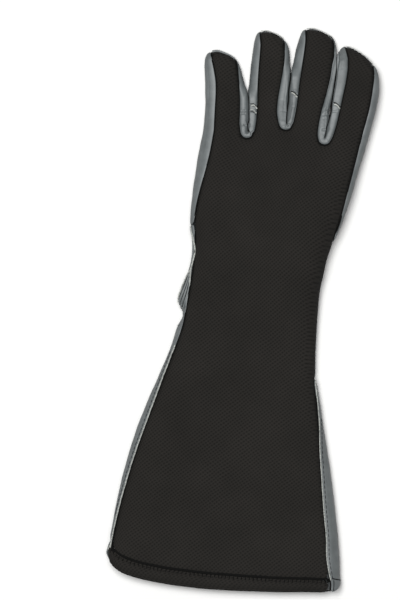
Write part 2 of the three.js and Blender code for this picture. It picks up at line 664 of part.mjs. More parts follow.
function thumbRow(s) {
  return thumbRing.map((from, k) => {
    const start = thumbPlace(from.x, from.y);
    const target = thumbTarget(k, s);
    const wide = thumbWidth / 2 * thumbWide(s);
    const side = Math.sign(target.across) || 1;
    const round = palmRound * (1 - Math.cos(target.angle));
    const free = target.flat ? target.across : side * (wide - round);
    const lateral = s === 1 ? side * Math.min(Math.abs(free), wide - thumbInset) : free;
    const end = thumbLength - thumbWidth * 0.12 * (lateral / (thumbWidth / 2)) ** 2;
    const along = mix(start.along, end, s);
    const taper = roundOff(end - along, tipRound);
    const reached = target.flat ? roundOff(wide - Math.abs(lateral), palmRound) : Math.abs(Math.sin(target.angle));
    const sign = Math.sign(target.angle) || 1;
    const settled = smooth(s / 0.22);
    const across = mix(start.across, lateral, settled);
    const x = thumbRoot.x + thumbAxis.x * along + thumbAcross.x * across;
    const y = thumbRoot.y + thumbAxis.y * along + thumbAcross.y * across;
    return new THREE.Vector3(x, y, mix(from.z, thumbDepth / 2 * (1 + sign * reached * taper), settled));
  });
}
const thumbPiece = (k) => {
  const turn = acrossCount + sideCount;
  if (k < acrossCount) return k < acrossCount / 2 ? 'thumb_front' : 'thumb_back';
  if (k < turn) return 'thumb_back';
  if (k < turn + acrossCount) return k < turn + acrossCount / 2 ? 'thumb_back' : 'thumb_front';
  return 'thumb_front';
};
let lowerThumb = thumbRing;
thumbRows.forEach((s) => {
  const upper = thumbRow(s);
  ribbon(thumbSkin, lowerThumb, upper, thumbPiece);
  lowerThumb = upper;
});
thumbSkin.finish();

const grey = 0x6f7678;
const black = 0x2a2826;
const pieces = [
  { name: 'back_panel', from: skin, wall: knitWall, colour: black, rough: 0.95 },
  { name: 'back_hem', from: skin, wall: knitHemWall, colour: black, rough: 0.95 },
  { name: 'palm_panel', from: skin, wall: leatherWall, colour: grey, rough: 0.6 },
  { name: 'palm_hem', from: skin, wall: leatherHemWall, colour: grey, rough: 0.6 },
  { name: 'gauntlet_side_strip', from: skin, wall: leatherWall, colour: grey, rough: 0.6 },
  { name: 'pinky_side_strip', from: skin, wall: leatherWall, colour: grey, rough: 0.6 },
  { name: 'index_side_strip', from: skin, wall: leatherWall, colour: grey, rough: 0.6 },
  ...joins.map((join) => ({ name: join.name, from: skin, wall: leatherWall, colour: grey, rough: 0.6 })),
  { name: 'thumb_back', from: thumbSkin, wall: knitWall, colour: black, rough: 0.95 },
  { name: 'thumb_front', from: thumbSkin, wall: leatherWall, colour: grey, rough: 0.6 },
];

// The part stands on its lowest point, with the middle of its bounding box over the origin
const built = pieces.map((piece) => {
  const gap = piece.name.endsWith('hem') ? hemGap : seamGap;
  return { ...piece, ...panel(piece.from, piece.name, piece.wall, gap) };
});
const bounds = new THREE.Box3();
built.forEach((piece) => piece.points.forEach((p) => bounds.expandByPoint(p)));
const middle = bounds.getCenter(new THREE.Vector3());
const glove = new THREE.Group();
glove.name = 'arc_flash_glove';
built.forEach((piece) => {
  const place = new Float32Array(piece.points.flatMap((p) => [p.x - middle.x, p.y - middle.y, p.z - bounds.min.z]));
  const geometry = new THREE.BufferGeometry();
  geometry.setAttribute('position', new THREE.BufferAttribute(place, 3));
  geometry.setIndex(piece.index);
  geometry.computeVertexNormals();
  const mesh = new THREE.Mesh(geometry, new THREE.MeshStandardMaterial({ color: piece.colour, roughness: piece.rough }));
  mesh.name = piece.name;
  glove.add(mesh);
});

export default glove;
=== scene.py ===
import math

import bmesh
import bpy
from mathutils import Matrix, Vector, noise
from mathutils.bvhtree import BVHTree
from mathutils.kdtree import KDTree

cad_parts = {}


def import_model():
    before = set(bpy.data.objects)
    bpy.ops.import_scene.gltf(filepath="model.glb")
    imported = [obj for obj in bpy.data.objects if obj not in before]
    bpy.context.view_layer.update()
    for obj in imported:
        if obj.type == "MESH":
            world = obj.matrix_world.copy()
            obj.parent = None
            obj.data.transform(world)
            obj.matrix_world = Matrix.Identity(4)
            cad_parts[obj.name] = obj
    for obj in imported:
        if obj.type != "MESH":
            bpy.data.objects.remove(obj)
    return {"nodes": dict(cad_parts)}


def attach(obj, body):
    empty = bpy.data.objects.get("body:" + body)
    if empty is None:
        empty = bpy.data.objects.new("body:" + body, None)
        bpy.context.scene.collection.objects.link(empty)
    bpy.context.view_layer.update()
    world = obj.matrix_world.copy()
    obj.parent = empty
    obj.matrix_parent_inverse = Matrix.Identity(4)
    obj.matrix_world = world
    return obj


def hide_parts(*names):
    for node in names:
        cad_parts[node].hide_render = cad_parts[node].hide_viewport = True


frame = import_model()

# An arc flash glove for the left hand, lying back up. Its back is black knit. Its palm, the edges of its
# gauntlet and the strips between its fingers are grey goatskin. The cuff is open, and the thumb lies folded
# under the palm. The CAD nodes are the walls round the hollow for the hand. dress() makes cloth or leather of
# each, and threads, cut edges and small folds are then laid on the finished walls.

# Sizes are in millimetres where nothing else is said, and MM turns them into Blender's metres. The tables hold
# a cutter's places, which count from the middle of the cuff's edge, x to the thumb and y to the finger tips.
MM = 0.001
CUFF_MIDDLE = Vector((2.5, -196.85))
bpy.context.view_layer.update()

# Blender's vector noise starts from the clock unless it is seeded
NOISE_SEED = 7

# Reading a CAD wall: vertices this near are one, triangles this level and square join into quads, and the
# outer side ends where the faces turn by more than RIM_TURN
WELD = 0.002
QUAD_LEVEL = math.radians(60)
QUAD_SQUARE = math.radians(80)
RIM_TURN = math.radians(58)

# The width of the rounded rims, and the length from which an edge of a strip between two fingers is halved
KNIT_EDGE = 1.0
LEATHER_EDGE = 0.5
LONG_EDGE = 4.5

# How the walls give: the leather swells between its seams, and the knit rolls down to them
LEATHER_SWELL = 0.35
LEATHER_SWELL_REACH = 1.6
KNIT_ROLL = 0.7
KNIT_ROLL_REACH = 1.7
HEM_ROLL = 1.6
HEM_ROLL_REACH = 3.0

# Neither lies quite even: there are wide lumps with fine ones on them, and less of both on the knit
WIDE_LUMP = 11.0
WIDE_LUMP_HEIGHT = 0.25
FINE_LUMP = 4.0
FINE_LUMP_HEIGHT = 0.08
KNIT_CALM = 0.35

# These forms fade towards a seam, and towards the wall's inner side, which is at share 0
SEAM_STEP = 0.4
SEAM_FADE = 1.0
HOLLOW_FADE = 3.0
OUTER_SHARE = 0.5
OUTER_BLEND = 0.3

# A crease runs out past its ends by CREASE_OVERRUN of its length. Its reach and the way to the low ridges
# beside it are in its half widths. A face counts as above until it leans over past upright by FACE_LEAN.
CREASE_OVERRUN = 0.15
CREASE_REACH = 5
RIDGE_AWAY = 2.2
RIDGE_HEIGHT = 0.4
FACE_LEAN = 0.2

# Each strip between two fingers bulges like a rope beside the slit, from its seam to the slit's line. Both of
# its sides close in to that line, and open again towards the line's last point, between the finger tips. A
# black strand below the seam's height is painted shade: it stands for the dark in the slit.
STRAND_RISE = 1.5
STRAND_LIFT = 4.0
STRAND_RUN = 12
STRAND_DEPTH = 8
STRAND_DEPTH_BLEND = 1.5
SLIT_STEP = 0.3
SLIT_CLOSED = 1.2
SLIT_FREE = 3.2
SLIT_KEPT = 0.2
CLOSING_RUN = 9
SLIT_SHADE = 1.8
SLIT_SHADE_DEPTH = 3.6
SLIT_LOOK_HEIGHT = 18
SLITS = {
    "fourchette_pinky_ring": [(-22.3, 322.3), (-23.6, 324.5), (-24.5, 327.6), (-23.6, 330.3),
                              (-24.5, 337.2), (-25.5, 345.6), (-26.6, 349.2), (-29.0, 358.0)],
    "fourchette_ring_middle": [(3.5, 331.0), (2.7, 335.2), (2.6, 339.5), (3.0, 348.0),
                               (2.3, 355.5), (2.6, 364.0), (2.3, 368.3), (1.6, 377.0)],
    "fourchette_middle_index": [(31.8, 324.3), (32.2, 327.6), (32.0, 331.3), (32.9, 334.7), (34.5, 343.4),
                                (34.2, 348.7), (34.4, 357.8), (34.9, 371.2), (33.4, 383.9), (33.0, 392.0)],
}

# The knit's mesh and drift, its wear and yarn, and the leather's pebbles, clouds and pores
KNIT_ACROSS = 3.2
KNIT_ALONG = 2.85
KNIT_DRIFT = 14
KNIT_WEAR = 30
YARN = 0.6
GRAIN = 0.75
LEATHER_CLOUD = 9
PORE = 0.4

# Threads, how deep they sink into the glove, and how far a stitch stands out in its middle
THREAD = 0.55
STITCH_LENGTH = 2.3
STITCH_GAP = 0.8
STITCH_LIFT = 0.12
SEAM_THREAD = 1.2
SEAM_THREAD_STEP = 1.5
SEAM_THREAD_SINK = 0.6
HEM_THREAD = 2.0
HEM_THREAD_SINK = 0.3
DARK_LINE_SINK = 0.1
OVERLOCK_LENGTH = 1.9
OVERLOCK_SPACING = 2.3
OVERLOCK_UNEVEN = 0.8
OVERLOCK_NOISE = 1.3

# How far the rows of stitches lie from their seams: at the right and left of the back, and below
RIGHT_ROW = 1.9
LEFT_ROW = 1.6
LOW_ROW = 1.8
ROW_STRAY = 1.5

# Cut edges of the leather: thickness at the right and left of the back, and below, how far they stand out of
# the seam, and how they fray
RIGHT_RAW_EDGE = 0.8
LEFT_RAW_EDGE = 0.95
LOW_RAW_EDGE = 0.8
RAW_LIFT = 0.3
LOW_RAW_LIFT = 0.1
FRAY_WAVE = 2.5
FRAY_WAVE_REACH = 0.15
FRAY_KNOT = 1.7
FRAY_UNEVEN = 0.3
FRAY_SHIFT = Vector((9, 0, 0))

# A strand keeps only this share of its thickness where it faces sideways. The seam thread nearly ends where
# the pinky's strip does.
SIDE_THREAD = 0.3
SIDE_RAW_EDGE = 0.4
SIDE_TURN = 0.3
SIDE_BLEND = 0.4
STRIP_END = (-54.5, 248)
STRIP_END_REACH = 2
STRIP_END_BLEND = 4
STRIP_END_THREAD = 0.1

# A route is laid by rays from LAY_FROM above or below. Where one misses, the glove's place nearest to a point
# at BESIDE_HEIGHT is taken. A step higher than LAID_JUMP breaks the route. A seam thread further off the
# finished walls than DRAWN_BACK moves to them. A rim runs along a piece where it is within SEAM_NEAR of it.
FINE_STEP = 0.5
LAY_FROM = 60
BESIDE_HEIGHT = 11
LAID_JUMP = 2.5
DRAWN_BACK = 0.9
SEAM_NEAR = 1.2

PIECES = {
    # name: cloth, rounds of smoothing, a place outside the wall that the cutter sees it from, the way to look
    "back_panel": ("knit", 2, (0, 150, 60), (0, 0, -1)),
    "back_hem": ("knit", 3, (0, -3, 60), (0, 0, -1)),
    "thumb_back": ("knit", 3, (37, 270, -20), (0, 0, 1)),
    "palm_panel": ("leather", 3, (-20, 150, -20), (0, 0, 1)),
    "palm_hem": ("leather", 3, (0, -3, -20), (0, 0, 1)),
    "gauntlet_side_strip": ("leather", 3, (120, 60, 8), (-1, 0, 0)),
    "pinky_side_strip": ("leather", 3, (-120, 300, 8), (1, 0, 0)),
    "index_side_strip": ("leather", 3, (120, 300, 18), (-1, 0, 0)),
    "fourchette_pinky_ring": ("leather", 3, (-26.2, 340, 6), (-1, 0, 0)),
    "fourchette_ring_middle": ("leather", 3, (3.1, 340, 8.5), (-1, 0, 0)),
    "fourchette_middle_index": ("leather", 3, (33, 340, 16.5), (-1, 0, 0)),
    "thumb_front": ("leather", 3, (24, 270, -20), (0, 0, 1)),
}

CREASES = [
    # piece, side that shows it (1 above, -1 below), from x, y, to x, y, half width, depth
    ("fourchette_pinky_ring", 1, -24.6, 328.4, -23.0, 324.4, 0.7, 1.1),
    ("fourchette_pinky_ring", 1, -27.5, 327.2, -25.2, 325.4, 0.55, 0.66),
    ("fourchette_pinky_ring", 1, -30.2, 336.6, -26.2, 338.0, 0.55, 0.47),
    ("fourchette_pinky_ring", 1, -30.9, 334.5, -26.6, 335.4, 0.55, 0.57),
    ("fourchette_pinky_ring", 1, -24.9, 342.4, -19.0, 341.2, 0.59, 0.95),
    ("fourchette_pinky_ring", 1, -24.2, 337.9, -19.6, 336.8, 0.55, 0.76),
    ("fourchette_ring_middle", 1, 3.0, 354.9, 8.2, 353.4, 0.59, 1.04),
    ("fourchette_ring_middle", 1, 4.0, 331.0, 5.0, 328.6, 0.65, 0.95),
    ("fourchette_ring_middle", 1, 3.6, 343.0, 7.0, 344.6, 0.91, 0.38),
    ("fourchette_middle_index", 1, 34.2, 350.0, 39.6, 347.6, 0.59, 0.78),
    ("fourchette_middle_index", 1, 34.0, 342.6, 38.2, 344.2, 0.59, 0.49),
    ("fourchette_middle_index", 1, 28.1, 339.6, 32.1, 342.0, 0.8, 0.6),
    ("fourchette_middle_index", 1, 28.6, 337.3, 31.2, 338.8, 0.8, 0.55),
    ("fourchette_middle_index", 1, 29.6, 344.0, 33.0, 347.0, 0.8, 0.5),
    ("fourchette_middle_index", 1, 30.2, 335.6, 33.0, 338.6, 0.8, 0.35),
    ("fourchette_middle_index", 1, 28.9, 329.2, 31.5, 330.8, 0.8, 0.6),
    ("palm_panel", -1, -52.0, 188.0, -47.0, 222.0, 1.6, 1.0),
    ("palm_panel", -1, -46.0, 184.0, -40.0, 226.0, 1.6, 1.1),
    ("palm_panel", -1, -40.0, 187.0, -32.0, 224.0, 1.5, 1.0),
    ("palm_panel", -1, -34.0, 185.0, -24.0, 229.0, 1.6, 1.1),
    ("palm_panel", -1, -27.0, 188.0, -16.0, 222.0, 1.5, 1.0),
    ("palm_panel", -1, -20.0, 186.0, -9.0, 216.0, 1.5, 0.9),
    ("palm_panel", -1, -60.0, 150.0, -30.0, 175.0, 3.0, 0.9),
    ("palm_panel", -1, -70.0, 110.0, -28.0, 158.0, 3.5, 1.0),
    ("palm_panel", -1, -72.0, 78.0, -30.0, 112.0, 4.0, 0.9),
    ("palm_panel", -1, -30.0, 60.0, -24.0, 96.0, 2.0, 0.7),
    ("palm_panel", -1, -36.0, 232.0, -8.0, 262.0, 3.5, 0.5),
    ("palm_panel", -1, -52.0, 296.0, 0.0, 302.0, 2.5, 0.4),
]

HOLLOWS = [
    # piece, side that shows it (0 for both), middle x, y, half sizes along x and y, depth of the whole wall
    ("palm_panel", 0, -58.5, 185.0, 7.0, 6.5, 4.5),
]

RAW_EDGES = [
    # side, thickness, route: cut edges that don't run along a rim
    (1, 1.2, [(-56.5, 250.8), (-55.6, 246.7), (-53.6, 241.5), (-52.1, 236.4), (-51.4, 231.4), (-51.6, 225.0),
              (-52.4, 218.1), (-52.1, 210.9), (-51.4, 200.7)]),
    (1, 0.9, [(-52.5, 218.8), (-54.6, 213.5), (-56.7, 206.6), (-59.6, 197.5), (-60.3, 193.0)]),
    (1, 1.1, [(-24.0, 340.6), (-21.9, 341.6), (-18.9, 339.2)]),
    (1, 0.8, [(-23.8, 338.2), (-21.9, 338.6), (-19.3, 336.4)]),
    (1, 1.2, [(4.1, 353.5), (5.8, 353.1), (8.3, 350.9)]),
    (1, 1.2, [(35.6, 348.6), (37.4, 348.3), (39.7, 346.1)]),
    (1, 0.9, [(-84.9, 15.6), (-86.4, 12.6), (-87.5, 7.7)]),
]

LEATHER_ROLLS = [
    # side, thickness at the first end, thickness at the last end, route
    (1, 1.2, 1.4, [(-53.3, 215.0), (-54.6, 208.0), (-56.6, 200.0), (-58.2, 193.4)]),
    (1, 1.2, 1.5, [(-52.8, 212.0), (-53.8, 205.0), (-55.2, 198.0), (-56.4, 191.6)]),
    (1, 1.1, 1.4, [(-52.2, 208.5), (-52.7, 202.0), (-53.6, 196.0), (-54.6, 190.0)]),
]

# The roll over the pinky's tip: where tips begin, its shift from the seam, its radius, and its radius's loss
TIPS_FROM = 368
TIP_ROLL_SHIFT = Vector((0, -0.3, 0.3))
TIP_ROLL = 0.9
TIP_ROLL_LOSS = 0.4

DARK_LINES = [
    # side, thickness, route: lines of thick thread, and at the wrist's fan lines of painted shade between the
    # folds
    (1, 0.8, [(3.5, 354.8), (5.6, 354.5), (8.8, 352.0)]),
    (1, 0.8, [(35.0, 349.9), (37.2, 349.7), (40.4, 347.0)]),
    (1, 0.6, [(-24.2, 342.4), (-21.9, 342.9), (-18.9, 340.8)]),
    (1, 0.5, [(-23.8, 336.8), (-22.0, 337.2), (-19.4, 335.0)]),
    # Painted shade: dark lines between the folds of the wrist's fan
    (1, 0.6, [(-52.9, 214.0), (-54.3, 206.5), (-55.9, 199.0), (-57.4, 192.4)]),
    (1, 0.6, [(-52.5, 210.0), (-53.2, 203.5), (-54.4, 197.0), (-55.5, 190.8)]),
    (1, 0.6, [(-53.6, 215.5), (-55.6, 208.0), (-58.0, 199.0), (-59.3, 193.8)]),
    (1, 0.9, [(75.4, 9.6), (79.0, 9.4), (83.6, 8.4)]),
    (1, 0.7, [(77.2, 8.6), (77.6, 5.0), (77.8, 1.0)]),
]

DARK_STITCHES = [
    # side, route: rows of stitches that don't run beside a seam
    (1, [(-83.5, 13.5), (-81.5, 10.5), (-77.0, 7.8), (-70.0, 5.2), (-60.0, 3.8), (-50.0, 3.2), (-35.0, 3.6),
         (-20.0, 3.4), (-8.0, 2.6), (5.0, 3.6), (20.0, 5.0), (40.0, 5.2), (60.0, 7.0), (74.0, 8.8)]),
    (1, [(-57.2, 371.5), (-55.0, 375.0), (-51.0, 376.2), (-46.0, 375.0)]),
]

# The y from and to which the seam at the left of the back shows a cut edge and stitches
LEFT_SEAM = (10, 177)

# The middle of the leather hem's zigzag, its step and how far it reaches to both sides
HEM_MIDDLE = [(-79.0, 2.6), (-60.0, -1.0), (-40.0, -3.2), (-15.0, -4.3), (20.0, -2.5), (54.0, 0.8)]
ZIGZAG_STEP = 4.0
ZIGZAG_REACH = 2.6

# The camera looks straight down, and is rolled as the glove lies. Its lengths are in metres, but for the
# width of its sensor, and its view is VIEW_HEIGHT high at the middle of the glove's height.
CAMERA_HEIGHT = 2.4
CAMERA_SENSOR = 36.0
VIEW_HEIGHT = 434.2 * MM
VIEW_CENTRE = (-40.7 * MM, 0.5 * MM)
VIEW_ROLL = math.radians(7)
MID_HEIGHT = 12 * MM

# The floor, in metres, with a hair's gap under the glove
FLOOR_REACH = 3.0
FLOOR_GAP = 0.05 * MM


# Places and blends
def to_metres(x, y, z=0):
    """A cutter's place in metres."""
    return Vector(((x + CUFF_MIDDLE.x) * MM, (y + CUFF_MIDDLE.y) * MM, z * MM))


def to_cutter(place):
    """A place in metres as the cutter's x and y in mm."""
    return place.x / MM - CUFF_MIDDLE.x, place.y / MM - CUFF_MIDDLE.y


def smooth(t):
    """A blend from 0 to 1 with soft ends."""
    t = min(max(t, 0.0), 1.0)
    return t * t * (3 - 2 * t)


def facing(turned, least):
    """The share of its thickness that a strand keeps: all where it faces the eye, the least at the sides."""
    return least + (1 - least) * smooth((turned - SIDE_TURN) / SIDE_BLEND)


def evenly(points, step):
    """A smooth run through some places, with one about every step."""
    ends = [points[0] * 2 - points[1], *points, points[-1] * 2 - points[-2]]
    run = []
    for p0, p1, p2, p3 in zip(ends, ends[1:], ends[2:], ends[3:]):
        count = max(1, round((p2 - p1).length / step))
        for k in range(count):
            t = k / count
            run.append((2 * p1 + (p2 - p0) * t + (2 * p0 - 5 * p1 + 4 * p2 - p3) * t ** 2
                        + (3 * p1 - p0 - 3 * p2 + p3) * t ** 3) / 2)
    run.append(points[-1])
    return run


# Colours and shader nodes
def linear(code):
    """An sRGB hex colour as Blender's linear RGBA."""
    def channel(pair):
        """Two hex digits as a linear value."""
        c = int(pair, 16) / 255
        return c / 12.92 if c <= 0.04045 else ((c + 0.055) / 1.055) ** 2.4
    return (*[channel(code[i:i + 2]) for i in (1, 3, 5)], 1.0)


def add(tree, kind, settings=None, links=None):
    """Adds a shader node. Settings are properties, sockets' values or a ramp's stops. Links feed sockets."""
    node = tree.nodes.new(kind)
    for key, value in (settings or {}).items():
        if key == "stops":
            while len(node.color_ramp.elements) < len(value):
                node.color_ramp.elements.new(0.5)
            for element, (position, code) in zip(node.color_ramp.elements, value):
                element.position = position
                element.color = linear(code)
        elif isinstance(key, str) and hasattr(node, key):
            setattr(node, key, value)
        else:
            node.inputs[key].default_value = value
    for key, output in (links or {}).items():
        tree.links.new(output, node.inputs[key])
    return node


def new_material(name):
    """A material with its node tree and its Principled shader."""
    material = bpy.data.materials.new(name)
    material.use_nodes = True
    tree = material.node_tree
    return material, tree, tree.nodes["Principled BSDF"]


def aramid_knit():
    """Spun aramid in a fine mesh knit: matt black yarn with darker eyelets, a little worn and dusty."""
    material, tree, shader = new_material("aramid_knit")
    place = add(tree, "ShaderNodeTexCoord").outputs["Object"]
    drift = add(tree, "ShaderNodeTexNoise", {"Scale": 1 / (KNIT_DRIFT * MM), "Detail": 2.0},
                {"Vector": place})
    bend = add(tree, "ShaderNodeMath", {"operation": "MULTIPLY", 1: 6.0}, {0: drift.outputs["Fac"]})
    across = 2 * math.pi / (KNIT_ACROSS * MM)
    along = 2 * math.pi / (KNIT_ALONG * MM)
    courses = []
    for direction in ((across, along, along), (across, -along, along)):
        turn = add(tree, "ShaderNodeVectorMath", {"operation": "DOT_PRODUCT", 1: direction}, {0: place})
        bent = add(tree, "ShaderNodeMath", {"operation": "ADD"},
                   {0: turn.outputs["Value"], 1: bend.outputs[0]})
        wave = add(tree, "ShaderNodeMath", {"operation": "COSINE"}, {0: bent.outputs[0]})
        half = add(tree, "ShaderNodeMath", {"operation": "MULTIPLY_ADD", 1: 0.5, 2: 0.5},
                   {0: wave.outputs[0]})
        courses.append(half.outputs[0])
    eyelet = add(tree, "ShaderNodeMath", {"operation": "MULTIPLY"}, {0: courses[0], 1: courses[1]}).outputs[0]
    twill = add(tree, "ShaderNodeMath", {"operation": "MULTIPLY", 1: 0.08}, {0: courses[1]}).outputs[0]
    fibre = add(tree, "ShaderNodeTexNoise", {"Scale": 1 / (YARN * MM), "Detail": 3.0},
                {"Vector": place}).outputs["Fac"]
    worn = add(tree, "ShaderNodeTexNoise", {"Scale": 1 / (KNIT_WEAR * MM), "Detail": 3.0}, {"Vector": place})
    calm = add(tree, "ShaderNodeMath", {"operation": "MULTIPLY_ADD", 1: 0.4, 2: 0.3},
               {0: worn.outputs["Fac"]})
    tone = add(tree, "ShaderNodeMath", {"operation": "SUBTRACT"}, {0: calm.outputs[0], 1: twill})
    tone = add(tree, "ShaderNodeMath", {"operation": "MULTIPLY_ADD", 1: -0.5},
               {0: eyelet, 2: tone.outputs[0]})
    tone = add(tree, "ShaderNodeMath", {"operation": "MULTIPLY_ADD", 1: 0.5}, {0: fibre, 2: tone.outputs[0]})
    stops = [(0.1, "#080706"), (0.55, "#131210"), (0.95, "#1d1b19")]
    colour = add(tree, "ShaderNodeValToRGB", {"stops": stops}, {"Fac": tone.outputs[0]})
    height = add(tree, "ShaderNodeMath", {"operation": "MULTIPLY_ADD", 1: -1.0}, {0: eyelet, 2: fibre})
    bump = add(tree, "ShaderNodeBump", {"Strength": 0.5, "Distance": 0.2 * MM}, {"Height": height.outputs[0]})
    tree.links.new(colour.outputs["Color"], shader.inputs["Base Color"])
    tree.links.new(bump.outputs["Normal"], shader.inputs["Normal"])
    shader.inputs["Roughness"].default_value = 0.95
    shader.inputs["Specular IOR Level"].default_value = 0.15
    return material


def goatskin(name, stops, roughness):
    """Dyed goatskin with a smooth drummed grain: soft sheen, fine pebbles, cloudy where it stretches."""
    material, tree, shader = new_material(name)
    place = add(tree, "ShaderNodeTexCoord").outputs["Object"]
    pebbles = add(tree, "ShaderNodeTexVoronoi", {"feature": "SMOOTH_F1", "Scale": 1 / (GRAIN * MM)},
                  {"Vector": place})
    cloud = add(tree, "ShaderNodeTexNoise",
                {"Scale": 1 / (LEATHER_CLOUD * MM), "Detail": 4.0, "Roughness": 0.6}, {"Vector": place})
    pores = add(tree, "ShaderNodeTexNoise", {"Scale": 1 / (PORE * MM), "Detail": 2.0}, {"Vector": place})
    tone = add(tree, "ShaderNodeMix", {"Factor": 0.3}, {"A": cloud.outputs["Fac"], "B": pores.outputs["Fac"]})
    colour = add(tree, "ShaderNodeValToRGB", {"stops": stops}, {"Fac": tone.outputs["Result"]})
    height = add(tree, "ShaderNodeMix", {"Factor": 0.4},
                 {"A": pebbles.outputs["Distance"], "B": pores.outputs["Fac"]})
    bump = add(tree, "ShaderNodeBump", {"Strength": 0.35, "Distance": 0.12 * MM},
               {"Height": height.outputs["Result"]})
    tree.links.new(colour.outputs["Color"], shader.inputs["Base Color"])
    tree.links.new(bump.outputs["Normal"], shader.inputs["Normal"])
    shader.inputs["Roughness"].default_value = roughness
    shader.inputs["Specular IOR Level"].default_value = 1.0
    return material


def fibrous(name, stops, size):
    """Loose matt fibres: a cut leather edge, which shows pale undyed fluff, or a twisted sewing thread."""
    material, tree, shader = new_material(name)
    place = add(tree, "ShaderNodeTexCoord").outputs["Object"]
    fibre = add(tree, "ShaderNodeTexNoise", {"Scale": 1 / (size * MM), "Detail": 3.0}, {"Vector": place})
    colour = add(tree, "ShaderNodeValToRGB", {"stops": stops}, {"Fac": fibre.outputs["Fac"]})
    bump = add(tree, "ShaderNodeBump", {"Strength": 0.6, "Distance": 0.15 * MM},
               {"Height": fibre.outputs["Fac"]})
    tree.links.new(colour.outputs["Color"], shader.inputs["Base Color"])
    tree.links.new(bump.outputs["Normal"], shader.inputs["Normal"])
    shader.inputs["Roughness"].default_value = 0.95
    shader.inputs["Specular IOR Level"].default_value = 0.1
    return material


# Search trees
def tree_of(faces):
    """A search tree over some faces of a bmesh."""
    points = []
    polygons = []
    for face in faces:
        polygons.append(list(range(len(points), len(points) + len(face.verts))))
        points.extend(vert.co.copy() for vert in face.verts)
    return BVHTree.FromPolygons(points, polygons)


def point_tree(points):
    """A search tree over some places."""
    tree = KDTree(len(points))
    for i, point in enumerate(points):
        tree.insert(point, i)
    tree.balance()
    return tree


def glove_tree(objects):
    """A search tree over all finished pieces."""
    points = []
    polygons = []
    for piece in objects:
        first = len(points)
        points.extend(vert.co.copy() for vert in piece.data.vertices)
        polygons.extend([first + i for i in polygon.vertices] for polygon in piece.data.polygons)
    return BVHTree.FromPolygons(points, polygons)


# Walls
def wall_of(name, eye, way):
    """The wall of a CAD node in quads, with the faces of its outer side, which the eye sees."""
    wall = bmesh.new()
    wall.from_mesh(frame["nodes"][name].data)
    bmesh.ops.remove_doubles(wall, verts=wall.verts, dist=WELD * MM)
    bmesh.ops.join_triangles(wall, faces=wall.faces, angle_face_threshold=QUAD_LEVEL,
                             angle_shape_threshold=QUAD_SQUARE)
    if name in SLITS:
        long_edges = [e for e in wall.edges if e.calc_length() > LONG_EDGE * MM]
        bmesh.ops.subdivide_edges(wall, edges=long_edges, cuts=1, use_grid_fill=True)
    wall.faces.ensure_lookup_table()
    _, _, first, _ = BVHTree.FromBMesh(wall).ray_cast(to_metres(*eye), Vector(way))
    seed = wall.faces[first]
    outside = {seed}
    front = [seed]
    while front:
        face = front.pop()
        for edge in face.edges:
            for other in edge.link_faces:
                if other not in outside and face.normal.angle(other.normal, 0) < RIM_TURN:
                    outside.add(other)
                    front.append(other)
    return wall, outside


def rim_loops(rim, outside):
    """The edge of the outer side as closed runs of places, each with the way out of the glove there."""
    unused = set(rim)
    loops = []
    for first in rim:
        if first not in unused:
            continue
        unused.remove(first)
        start, vert = first.verts
        loop = [start, vert]
        while vert != start:
            edge = next((e for e in vert.link_edges if e in unused), None)
            if edge is None:
                break
            unused.remove(edge)
            vert = edge.other_vert(vert)
            loop.append(vert)
        ways = [sum((f.normal for f in v.link_faces if f in outside), Vector()).normalized() for v in loop]
        loops.append([(v.co.copy(), way) for v, way in zip(loop, ways)])
    return loops


def places_along(loops):
    """Places close together along the rim loops: all of them, and those where the wall faces up."""
    places = []
    above = []
    for loop in loops:
        for (here, way_out), (there, _) in zip(loop, loop[1:]):
            count = math.ceil((there - here).length / (SEAM_STEP * MM))
            between = [here.lerp(there, k / count) for k in range(count)]
            places += between
            above += between if way_out.z > 0 else []
    return places, above


def softened(wall, name, rounds):
    """A wall as a smooth mesh, after so many rounds of subdivision. It uses the bmesh up."""
    cage = bpy.data.meshes.new(name + "_cage")
    wall.to_mesh(cage)
    wall.free()
    holder = bpy.data.objects.new(name + "_cage", cage)
    bpy.context.scene.collection.objects.link(holder)
    soften = holder.modifiers.new("soften", "SUBSURF")
    soften.levels = rounds
    soften.render_levels = rounds
    mesh = bpy.data.meshes.new_from_object(holder.evaluated_get(bpy.context.evaluated_depsgraph_get()))
    bpy.data.objects.remove(holder)
    return mesh


def crease_depth(name, x, y, up):
    """How far the creases take a piece's face in at a place, less the low ridges beside them, in mm."""
    depth = 0.0
    for piece, side, x0, y0, x1, y1, width, deep in CREASES:
        if piece != name or side * up < 0:
            continue
        run = math.hypot(x1 - x0, y1 - y0)
        along = ((x - x0) * (x1 - x0) + (y - y0) * (y1 - y0)) / run ** 2
        away = abs((x - x0) * (y1 - y0) - (y - y0) * (x1 - x0)) / run / width
        if -CREASE_OVERRUN < along < 1 + CREASE_OVERRUN and away < CREASE_REACH:
            ends = smooth((along + CREASE_OVERRUN) / (2 * CREASE_OVERRUN))
            ends *= smooth((1 + CREASE_OVERRUN - along) / (2 * CREASE_OVERRUN))
            depth += deep * ends * (math.exp(-away ** 2) - RIDGE_HEIGHT * math.exp(-(away - RIDGE_AWAY) ** 2))
    return depth


def hollow_depth(name, x, y, up):
    """How far the hollows take a piece's whole wall in at a place, in mm."""
    depth = 0.0
    for piece, side, x0, y0, across, along, deep in HOLLOWS:
        if piece == name and side * up >= 0:
            depth += deep * math.exp(-((x - x0) / across) ** 2 - ((y - y0) / along) ** 2)
    return depth


def lump_at(place, cloth):
    """How far a cloth that lies unevenly stands out at a place, in mm."""
    wide = noise.noise(place / (WIDE_LUMP * MM)) * WIDE_LUMP_HEIGHT
    fine = noise.noise(place / (FINE_LUMP * MM)) * FINE_LUMP_HEIGHT
    return (wide + fine) * (KNIT_CALM if cloth == "knit" else 1.0)


def strand_height(edge, slit, away):
    """How high a strand lies, from its seam's height and the distances to the slit and to the seam."""
    t = away / (away + slit)
    return edge + STRAND_RISE * MM * math.sqrt(max(1 - (2 * t - 1) ** 2, 0))


